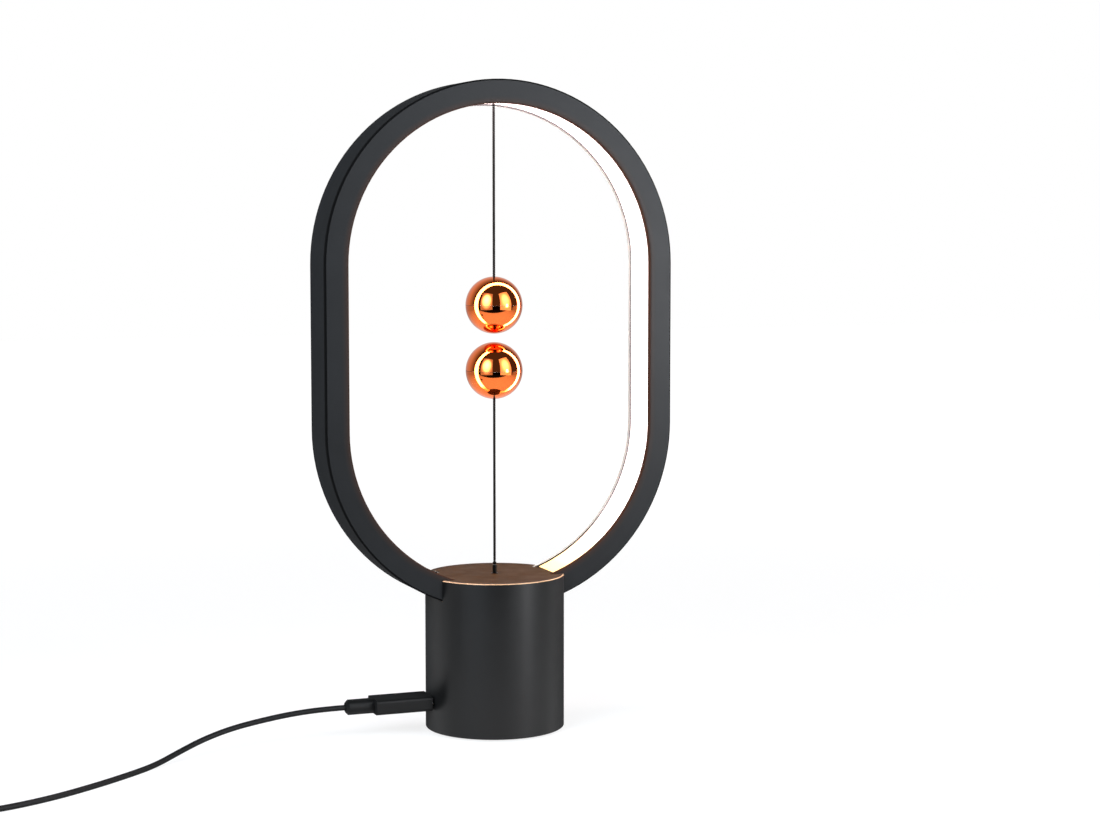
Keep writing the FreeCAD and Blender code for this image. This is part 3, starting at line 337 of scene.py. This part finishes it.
def blend_colours(tree, value, low, high, start=0.3, end=0.7):
    """A colour that goes from low to high as the value goes from start to end."""
    ramp = tree.nodes.new("ShaderNodeValToRGB")
    ramp.color_ramp.elements[0].position = start
    ramp.color_ramp.elements[0].color = (*low, 1)
    ramp.color_ramp.elements[1].position = end
    ramp.color_ramp.elements[1].color = (*high, 1)
    tree.links.new(value, ramp.inputs["Fac"])
    return ramp.outputs["Color"]


def bump(tree, shader, height, strength, distance):
    node = tree.nodes.new("ShaderNodeBump")
    node.inputs["Strength"].default_value = strength
    node.inputs["Distance"].default_value = distance
    tree.links.new(height, node.inputs["Height"])
    tree.links.new(node.outputs["Normal"], shader.inputs["Normal"])


def paint_over(tree, shader, share, colour):
    """Lays a colour over the one that the shader has, as far as the share says."""
    mix = tree.nodes.new("ShaderNodeMix")
    mix.data_type = "RGBA"
    tree.links.new(share, mix.inputs["Factor"])
    tree.links.new(shader.inputs["Base Color"].links[0].from_socket, mix.inputs["A"])
    mix.inputs["B"].default_value = (*colour, 1)
    tree.links.new(mix.outputs["Result"], shader.inputs["Base Color"])


def roughen(tree, shader, least):
    """Makes the shader at least so rough."""
    before = shader.inputs["Roughness"].links[0].from_socket
    tree.links.new(calculate(tree, "MAXIMUM", before, least), shader.inputs["Roughness"])


# Materials

def moulded_plastic(name, dark, light, roughness, grain, grain_depth, specular=0.5, soft=False):
    """Moulded plastic: slight mottling, uneven gloss and fine grain; a soft one has dull edges."""
    material, tree, shader, coordinates = new_material(name)
    mottling = noise(tree, coordinates, mottling_scale, 3.0)
    tree.links.new(blend_colours(tree, mottling, dark, light), shader.inputs["Base Color"])
    level = between(tree, noise(tree, coordinates, gloss_scale, 4.0), *roughness)
    if soft:
        slant = tree.nodes.new("ShaderNodeLayerWeight").outputs["Facing"]
        dull = between(tree, slant, 0.0, dull_edge_roughness, *dull_edge_facing)
        level = calculate(tree, "ADD", level, dull)
    tree.links.new(level, shader.inputs["Roughness"])
    shader.inputs["Specular IOR Level"].default_value = specular
    bump(tree, shader, noise(tree, coordinates, grain, 3.0), grain_strength, grain_depth)
    return material


def metal(name, tone, worn, roughness, scratch_stretch=(1, 1, 1), depth=0.000004):
    """Metal with fine wear: a slightly different tone and gloss in patches."""
    material, tree, shader, coordinates = new_material(name)
    patches = noise(tree, coordinates, patch_scale, 3.0)
    tree.links.new(blend_colours(tree, patches, tone, worn), shader.inputs["Base Color"])
    shader.inputs["Metallic"].default_value = 1.0
    wear = noise(tree, coordinates, scratch_scale, 4.0, scratch_stretch)
    tree.links.new(between(tree, wear, *roughness), shader.inputs["Roughness"])
    bump(tree, shader, wear, scratch_strength, depth)
    return material


def loop_plastic(name, look, painted_glow_tone, outward):
    """The body's plastic, with the lamp's glow painted on the loop's inner edges; outward for the
    front plate, whose outer edges have the groove's shade painted on in black, and whose face has
    the painted glow in a band along the inner edge."""
    material = moulded_plastic(name, *look)
    tree = material.node_tree
    shader = tree.nodes["Principled BSDF"]
    place = parts_of(tree, object_coordinates(tree))
    nearest_centre = tree.nodes.new("ShaderNodeClamp")
    nearest_centre.inputs["Min"].default_value = loop_lower_centre
    nearest_centre.inputs["Max"].default_value = loop_upper_centre
    tree.links.new(place["Z"], nearest_centre.inputs["Value"])
    away = tree.nodes.new("ShaderNodeCombineXYZ")
    tree.links.new(place["X"], away.inputs["X"])
    above = calculate(tree, "SUBTRACT", place["Z"], nearest_centre.outputs["Result"])
    tree.links.new(above, away.inputs["Z"])
    away = away.outputs["Vector"]
    direction = calculate_vector(tree, "NORMALIZE", "Vector", away)
    facing = calculate_vector(tree, "DOT_PRODUCT", "Value", direction, normal(tree))
    # Painted glow of the lamp on faces turned into the loop, and in a band on the front plate's
    # face
    edges = [(painted_glow_tone, between(tree, facing, 1.0, 0.0, *glow_paint_facing))]
    if outward:
        reach = calculate_vector(tree, "LENGTH", "Value", away)
        glow_band = between(tree, reach, painted_glow_share, 0.0, loop_inner, loop_inner + painted_glow_width)
        edges.insert(0, (painted_glow_tone, glow_band))
        # Painted shade of the groove on the front plate's outward faces
        edges.append((painted_groove_shade, between(tree, facing, 0.0, 1.0, *groove_shade_facing)))
    for tone, share in edges:
        paint_over(tree, shader, share, tone)
        roughen(tree, shader, share)
    return material


def rimmed_plastic(name, look, painted_lid_glow):
    """The housing's plastic, with the lid's tone, whose brown is painted glow, on its top face and
    a painted highlight of the lamp's glow on its rim.
    """
    material = moulded_plastic(name, *look)
    tree = material.node_tree
    shader = tree.nodes["Principled BSDF"]
    upright = parts_of(tree, normal(tree))["Z"]
    # Painted highlight of the glow on the rim, and the lid's painted glow on the top face
    for tone, facing in ((painted_rim_highlight, rim_highlight_facing), (painted_lid_glow, lid_facing)):
        paint_over(tree, shader, between(tree, upright, 0.0, 1.0, *facing), tone)
    roughen(tree, shader, between(tree, upright, 0.0, housing_lid_roughness, *lid_facing))
    return material


def lit_diffuser():
    """Opal plastic that glows, dimmer and yellower at its ends, where the yellow of the glow is
    also painted into its colour; seen directly it is just white.
    """
    material, tree, shader, coordinates = new_material("lit_diffuser")
    shader.inputs["Roughness"].default_value = 0.45
    height = parts_of(tree, coordinates)["Z"]
    base_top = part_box("base_housing")[1].z
    rise = between(tree, height, 0.0, 1.0, base_top, base_top + glow_rise)
    # Painted glow: the colour turns yellow towards the ends
    body = blend_colours(tree, rise, diffuser_end_glow_paint, diffuser_colour, 0.1, 0.9)
    tree.links.new(body, shader.inputs["Base Color"])
    curved = calculate(tree, "POWER", rise, glow_curve)
    level = between(tree, curved, glow_end_strength, glow_strength, 0.0, 1.0)
    cloud = noise(tree, coordinates, 60.0, 2.0)
    uneven = between(tree, cloud, 1 - glow_unevenness, 1 + glow_unevenness)
    strength = calculate(tree, "MULTIPLY", level, uneven)
    colour = blend_colours(tree, rise, glow_end_colour, glow_colour, 0.0, 1.0)
    tree.links.new(colour, shader.inputs["Emission Color"])
    direct = seen_directly(tree, "Is Camera Ray")
    limit = between(tree, direct, 2 * glow_strength, glow_seen, 0.0, 1.0)
    tree.links.new(calculate(tree, "MINIMUM", strength, limit), shader.inputs["Emission Strength"])
    return material


def mirror_copper():
    """Polished copper plate; the seam of the two halves is a paler, duller line at the equator."""
    material = metal("copper", copper_tone, copper_worn, (0.035, 0.050), depth=0.0000005)
    tree = material.node_tree
    shader = tree.nodes["Principled BSDF"]
    height = calculate(tree, "ABSOLUTE", parts_of(tree, object_coordinates(tree))["Z"])
    line = between(tree, height, 1.0, 0.0, seam_line, seam_fade * seam_line)
    paint_over(tree, shader, line, copper_seam)
    before = shader.inputs["Roughness"].links[0].from_socket
    rough = calculate(tree, "MULTIPLY_ADD", line, seam_roughness, before)
    tree.links.new(rough, shader.inputs["Roughness"])
    return material


def string_cord():
    """Tightly laid black string: a slanting lay around it, and a little fuzz."""
    material, tree, shader, coordinates = new_material("black_string")
    wave = tree.nodes.new("ShaderNodeTexWave")
    wave.wave_type = "BANDS"
    wave.bands_direction = "DIAGONAL"
    wave.inputs["Scale"].default_value = 700.0
    wave.inputs["Distortion"].default_value = 1.5
    tree.links.new(coordinates, wave.inputs["Vector"])
    lay = wave.outputs["Fac"]
    dark, light = (0.0025, 0.0023, 0.0022), (0.0050, 0.0046, 0.0044)
    tree.links.new(blend_colours(tree, lay, dark, light, 0.2, 0.8), shader.inputs["Base Color"])
    shader.inputs["Roughness"].default_value = 0.8
    shader.inputs["Specular IOR Level"].default_value = 0.10
    bump(tree, shader, lay, 0.5, 0.00004)
    return material


def circuit_board():
    """Green solder mask over copper tracks."""
    material, tree, shader, coordinates = new_material("circuit_board")
    brick = tree.nodes.new("ShaderNodeTexBrick")
    brick.inputs["Scale"].default_value = 260.0
    brick.inputs["Color1"].default_value = (0.010, 0.075, 0.030, 1)
    brick.inputs["Color2"].default_value = (0.014, 0.100, 0.042, 1)
    brick.inputs["Mortar"].default_value = (0.030, 0.170, 0.070, 1)
    brick.inputs["Mortar Size"].default_value = 0.03
    tree.links.new(coordinates, brick.inputs["Vector"])
    tree.links.new(brick.outputs["Color"], shader.inputs["Base Color"])
    shader.inputs["Roughness"].default_value = 0.3
    bump(tree, shader, brick.outputs["Fac"], 0.3, 0.00003)
    return material


def woven_tape():
    """Hook-and-loop tape: a tight two-way weave."""
    material, tree, shader, coordinates = new_material("tie")
    weave = tree.nodes.new("ShaderNodeTexChecker")
    weave.inputs["Scale"].default_value = 2600.0
    weave.inputs["Color1"].default_value = (*grey(0.008), 1)
    weave.inputs["Color2"].default_value = (*grey(0.022), 1)
    tree.links.new(coordinates, weave.inputs["Vector"])
    tree.links.new(weave.outputs["Color"], shader.inputs["Base Color"])
    shader.inputs["Roughness"].default_value = 0.9
    shader.inputs["Sheen Weight"].default_value = 0.3
    bump(tree, shader, noise(tree, coordinates, 3000.0, 2.0), 0.7, 0.0001)
    return material


def make_materials():
    materials = {
        "front_plate": loop_plastic("front_plate", front_look, front_painted_glow, True),
        "rear_shell": loop_plastic("rear_shell", side_look, rear_painted_glow, False),
        "housing": rimmed_plastic("housing", housing_look, lid_look[0]),
        "diffuser": lit_diffuser(),
        "copper": mirror_copper(),
        "string": string_cord(),
        "board": circuit_board(),
        "tie": woven_tape(),
    }
    for name, look in plastics.items():
        materials[name] = moulded_plastic(name, *look)
    for name, look in metals.items():
        materials[name] = metal(name, *look)
    return materials


def smooth(mesh, degrees):
    mesh.shade_smooth()
    mesh.set_sharp_from_angle(angle=math.radians(degrees))


def dress_nodes(materials):
    slots = {part["node"]: part["material_slot"] for part in frame["record"]["subparts"]}
    for name, node in frame["nodes"].items():
        node.data.materials.clear()
        node.data.materials.append(materials[own_looks.get(name, slots[name])])
        smooth(node.data, node_fold)


# Balls

def shell_profile(side, with_hole):
    """Half a shell in the XZ plane, from its pole to the seam; side is 1 above, -1 below."""
    inner = ball_radius - ball_wall
    hole = math.asin(ball_hole_radius / ball_radius) if with_hole else 0.0
    seam = math.asin(seam_half_gap / ball_radius)
    profile = [(ball_hole_radius, side * inner)] if with_hole else []
    for i in range(ball_steps + 1):
        angle = hole + (math.pi / 2 - seam - hole) * i / ball_steps
        profile.append((ball_radius * math.sin(angle), side * ball_radius * math.cos(angle)))
    profile.append((inner, side * seam_half_gap))
    return profile


def turned(name, profile):
    """A closed band of faces: the profile turned about the vertical through the balls."""
    rows = len(profile)
    vertices = []
    faces = []
    for k in range(ball_segments):
        angle = 2 * math.pi * k / ball_segments
        c, s = math.cos(angle), math.sin(angle)
        vertices += [(r * c, r * s, z) for r, z in profile]
        following = (k + 1) % ball_segments
        for i in range(rows - 1):
            a, b = k * rows + i, following * rows + i
            faces.append((a, a + 1, b + 1, b))
    mesh = bpy.data.meshes.new(name)
    mesh.from_pydata(vertices, [], faces)
    piece = in_scene(name, mesh)
    fix = bmesh.new()
    fix.from_mesh(mesh)
    bmesh.ops.remove_doubles(fix, verts=fix.verts, dist=0.0000001)
    bmesh.ops.recalc_face_normals(fix, faces=fix.faces)
    fix.to_mesh(mesh)
    fix.free()
    smooth(mesh, shell_fold)
    return piece


def make_balls(materials):
    for place, string_half in (("lower", "bottom"), ("upper", "top")):
        body = place + "_ball"
        seam = (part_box(body + "_top_shell")[0].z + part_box(body + "_bottom_shell")[1].z) / 2
        for half, side in (("top", 1), ("bottom", -1)):
            profile = shell_profile(side, half == string_half)
            shell = turned("copper_" + place + "_" + half, profile)
            shell.location.z = seam
            shell.data.materials.append(materials["copper"])
            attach(shell, body)
            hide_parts(body + "_" + half + "_shell")


# Strings

def new_curve(name, steps, points):
    """A curve of one smooth open line with these control points."""
    curve = bpy.data.curves.new(name, "CURVE")
    curve.dimensions = "3D"
    curve.resolution_u = steps
    spline = curve.splines.new("NURBS")
    spline.points.add(len(points) - 1)
    for control, point in zip(spline.points, points):
        control.co = (*point, 1)
    spline.order_u = 3
    spline.use_endpoint_u = True
    return curve


def route_points(name, steps, controls):
    """The points of the smooth line with these control points."""
    curve = new_curve(name, steps, controls)
    guide = in_scene(name, curve)
    mesh = bpy.data.meshes.new_from_object(guide)
    points = [v.co.copy() for v in mesh.vertices]
    bpy.data.meshes.remove(mesh)
    bpy.data.objects.remove(guide)
    bpy.data.curves.remove(curve)
    return points


def round_at(angle):
    return Vector((math.cos(angle), math.sin(angle), 0))


def laid_string(name, points, knot_height):
    """Strands that wind round the upright line of points, and swell at the knot."""
    vertices = []
    faces = []
    start = points[0]
    for strand in range(strands):
        first = len(vertices)
        for point in points:
            turn = 2 * math.pi * ((point - start).length / lay_pitch + strand / strands)
            near = max(0.0, 1 - ((point.z - knot_height) / knot_radius) ** 2)
            swell = math.sqrt(near) * (knot_radius - string_radius) / 2
            away = string_radius - strand_radius + swell
            thick = strand_radius + swell
            centre = point + round_at(turn) * away
            for k in range(strand_sides):
                vertices.append(centre + round_at(2 * math.pi * k / strand_sides) * thick)
        for i in range(len(points) - 1):
            for k in range(strand_sides):
                a = first + i * strand_sides
                b = a + strand_sides
                n = (k + 1) % strand_sides
                faces.append((a + k, a + n, b + n, b + k))
        last = first + (len(points) - 1) * strand_sides
        faces.append(tuple(range(first + strand_sides - 1, first - 1, -1)))
        faces.append(tuple(range(last, last + strand_sides)))
    mesh = bpy.data.meshes.new(name)
    mesh.from_pydata(vertices, [], faces)
    mesh.update()
    smooth(mesh, strand_fold)
    return in_scene(name, mesh)


def make_strings(materials):
    for place in ("lower", "upper"):
        low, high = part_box(place + "_string")
        if place == "lower":
            start, end, knot = low.z, high.z, high.z - knot_radius
        else:
            start, end, knot = high.z, low.z, low.z + knot_radius
        heights = [start + (end - start) * i / string_runs for i in range(string_runs + 1)]
        controls = [Vector((0, 0, height)) for height in heights]
        points = route_points(place + "_route", string_steps, controls)
        string = laid_string("laid_string_" + place, points, knot)
        string.data.materials.append(materials["string"])
        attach(string, place + "_ball")
        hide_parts(place + "_string")


# Cord

def coil_points():
    """Loops in layers that spiral in and out, and the last quarter turn towards the tail."""
    outward = Vector((-coil_heading.y, coil_heading.x, 0.0))
    centre = coil_start - outward * coil_radius
    step = coil_pitch / 2
    last_half = half_turns_per_layer - 1
    places = []
    for layer in range(coil_layers):
        for k in range(half_turns_per_layer):
            inward = k if layer % 2 == 0 else last_half - k
            places.append((coil_radius - inward * step, layer * coil_layer_pitch))
    radius, height = places[-1]
    places.append((radius + step, height))
    places.append((radius + 2 * step, height))
    turn = math.pi / points_per_half_turn
    # The smooth line runs inside its control points on a circle, so they stand out by as much
    overshoot = 1 / (0.75 + 0.25 * math.cos(turn))
    points = []
    halves = len(places) - 2
    count = int((halves + 0.5) * points_per_half_turn)
    for i in range(count + 1):
        half = i // points_per_half_turn
        angle = (i % points_per_half_turn) * turn
        (r0, z0), (r1, z1) = places[half], places[half + 1]
        share = (1 - math.cos(angle)) / 2
        radius = (r0 + (r1 - r0) * share) * overshoot
        height = z0 + (z1 - z0) * share
        total = i * turn
        place = centre + (outward * math.cos(total) + coil_heading * math.sin(total)) * radius
        points.append(place + Vector((0, 0, height)))
    return points, -outward


def tail_points(start, away):
    """The cord's end, which comes down from the coil towards its plug."""
    drop = start.z - tail_end_height
    points = []
    here = start.copy()
    for run, share in tail_runs:
        here = here + away * run
        here.z -= share * drop
        points.append(here.copy())
    return points


def make_cord(materials):
    loops, away = coil_points()
    points = [Vector(p) for p in cord_route] + loops + tail_points(loops[-1], away)
    curve = new_curve("usb_cord", 6, points)
    curve.bevel_depth = cord_diameter / 2
    curve.bevel_resolution = 5
    curve.use_fill_caps = True
    cord = in_scene("usb_cord", curve)
    curve.materials.append(materials["cord"])
    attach(cord, "base_and_ring")
    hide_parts("usb_cord_lead", "usb_cord_coil", "usb_cord_tail")


# Studio

def seen_directly(tree, *kinds):
    """1 for rays of these kinds, such as from the camera or in mirrors, and 0 for the others."""
    path = tree.nodes.new("ShaderNodeLightPath")
    total = path.outputs[kinds[0]]
    for kind in kinds[1:]:
        total = calculate(tree, "MAXIMUM", total, path.outputs[kind])
    return total


def stage_material(name):
    """A material with no gloss and a white glow, whose strength is still to be set."""
    material, tree, shader, coordinates = new_material(name)
    shader.inputs["Specular IOR Level"].default_value = 0.0
    shader.inputs["Emission Color"].default_value = (1, 1, 1, 1)
    return material, tree, shader, coordinates


def flat_faces(name, rectangles):
    """A flat mesh of rectangles, each given by its lowest and highest X and Y."""
    vertices = []
    faces = []
    for x0, y0, x1, y1 in rectangles:
        first = len(vertices)
        vertices += [(x0, y0, 0), (x1, y0, 0), (x1, y1, 0), (x0, y1, 0)]
        faces.append((first, first + 1, first + 2, first + 3))
    mesh = bpy.data.meshes.new(name)
    mesh.from_pydata(vertices, [], faces)
    return mesh


def make_floor():
    """The pale surface: near white as the camera and mirrors see it, with the lamp's shadow."""
    half = floor_size / 2
    mesh = flat_faces("floor", [(-half, -half, half, half)])
    floor = in_scene("floor", mesh)
    material, tree, shader, coordinates = stage_material("pale_floor")
    shader.inputs["Base Color"].default_value = (*floor_colour, 1)
    shader.inputs["Roughness"].default_value = 0.9
    away = calculate_vector(tree, "LENGTH", "Value", coordinates)
    level = between(tree, away, floor_white_near, floor_white_far, floor_near, floor_far)
    mirrored = between(
        tree, away, floor_gloss_near, floor_gloss_far, floor_near, floor_gloss_reach
    )
    direct = seen_directly(tree, "Is Camera Ray", "Is Transmission Ray")
    white = calculate(tree, "MULTIPLY", direct, level)
    glossy = seen_directly(tree, "Is Glossy Ray")
    total = calculate(tree, "MULTIPLY_ADD", glossy, mirrored, white)
    tree.links.new(total, shader.inputs["Emission Strength"])
    mesh.materials.append(material)


def make_world():
    """White for the camera, mirrors and glass; a low even light for the rest."""
    world = bpy.data.worlds.new("studio")
    bpy.context.scene.world = world
    world.use_nodes = True
    tree = world.node_tree
    background = tree.nodes["Background"]
    background.inputs["Color"].default_value = (1, 1, 1, 1)
    seen = seen_directly(tree, "Is Camera Ray", "Is Glossy Ray", "Is Transmission Ray")
    strength = between(tree, seen, ambient, 1.0, 0.0, 1.0)
    tree.links.new(strength, background.inputs["Strength"])


def make_surround():
    """What mirrors and gloss see past the floor: a dark studio in front, paler walls behind."""
    mesh = bpy.data.meshes.new("surround")
    shape = bmesh.new()
    bmesh.ops.create_uvsphere(shape, u_segments=64, v_segments=32, radius=surround_radius)
    shape.to_mesh(mesh)
    shape.free()
    surround = in_scene("surround", mesh)
    material, tree, shader, coordinates = stage_material("studio_walls")
    shader.inputs["Base Color"].default_value = (0, 0, 0, 1)
    place = parts_of(tree, coordinates)
    behind = between(tree, place["Y"], 0.0, surround_back, surround_near, surround_far)
    above = between(tree, place["Z"], surround_horizon, 1.0, 0.0, surround_top)
    level = calculate(tree, "MULTIPLY_ADD", behind, above, surround_front)
    tree.links.new(level, shader.inputs["Emission Strength"])
    material.cycles.emission_sampling = "NONE"
    mesh.materials.append(material)
    seen_in_gloss_only(surround)


def make_dark_room():
    """The dark room beyond the surface's edges, as gloss mirrors it: planes on its four sides."""
    reach = surround_radius
    side, front, back = surface_side, surface_front, surface_back
    rectangles = [
        (-reach, -reach, reach, front),
        (-reach, back, reach, reach),
        (-reach, front, -side, back),
        (side, front, reach, back),
    ]
    mesh = flat_faces("dark_room", rectangles)
    room = in_scene("dark_room", mesh)
    material, tree, shader, coordinates = stage_material("dark_room")
    dust = blend_colours(tree, noise(tree, coordinates, 8.0), grey(0.004), grey(0.008))
    tree.links.new(dust, shader.inputs["Base Color"])
    place = parts_of(tree, coordinates)
    level = between(tree, place["Y"], 0.0, room_behind, surface_front, 0.0)
    tree.links.new(level, shader.inputs["Emission Strength"])
    material.cycles.emission_sampling = "NONE"
    mesh.materials.append(material)
    room.location.z = room_lift
    room.rotation_euler.z = surface_turn
    seen_in_gloss_only(room)


def seen_in_gloss_only(thing):
    thing.visible_camera = False
    thing.visible_diffuse = False
    thing.visible_shadow = False
    thing.visible_transmission = False
    thing.visible_volume_scatter = False


def make_softbox(name, azimuth, distance, width, height, radiance, middle, rim, colour):
    """An upright lit panel that faces the lamp, brightest in its middle."""
    light = bpy.data.lights.new(name, "AREA")
    light.shape = "RECTANGLE"
    light.size = width
    light.size_y = height
    light.energy = math.pi * width * height
    light.color = colour
    light.use_nodes = True
    tree = light.node_tree
    place = tree.nodes.new("ShaderNodeNewGeometry").outputs["Parametric"]
    off_centre = calculate_vector(tree, "DISTANCE", "Value", place, (0.5, 0.5, 0.0))
    level = between(tree, off_centre, middle * radiance, rim * radiance, 0.0, 0.5)
    level.node.interpolation_type = "SMOOTHSTEP"
    tree.links.new(level, tree.nodes["Emission"].inputs["Strength"])
    lamp = in_scene(name, light)
    direction = Vector((math.sin(azimuth), -math.cos(azimuth), 0.0))
    lamp.location = direction * distance + Vector((0, 0, softbox_foot + height / 2))
    lamp.rotation_mode = "QUATERNION"
    lamp.rotation_quaternion = direction.to_track_quat("Z", "Y")
    lamp.visible_camera = False


def make_camera():
    data = bpy.data.cameras.new("camera")
    data.lens = camera_lens
    data.sensor_width = sensor_width
    data.clip_start = camera_nearest
    data.clip_end = camera_farthest
    camera = in_scene("camera", data)
    a, e = camera_azimuth, camera_elevation
    back = Vector((math.sin(a) * math.cos(e), -math.cos(a) * math.cos(e), math.sin(e)))
    right = Vector((math.cos(a), math.sin(a), 0.0))
    up = back.cross(right)
    aim = right * camera_aim_across + Vector((0, 0, camera_aim_height))
    place = Matrix((right, up, back)).transposed().to_4x4()
    place.translation = aim + back * camera_distance
    camera.matrix_world = place
    bpy.context.scene.camera = camera


materials = make_materials()
dress_nodes(materials)
make_balls(materials)
make_strings(materials)
make_cord(materials)
make_floor()
make_world()
make_surround()
make_dark_room()
for name, sizes in softboxes.items():
    make_softbox(name, **sizes)
make_camera()
bpy.context.scene.view_settings.view_transform = "Standard"
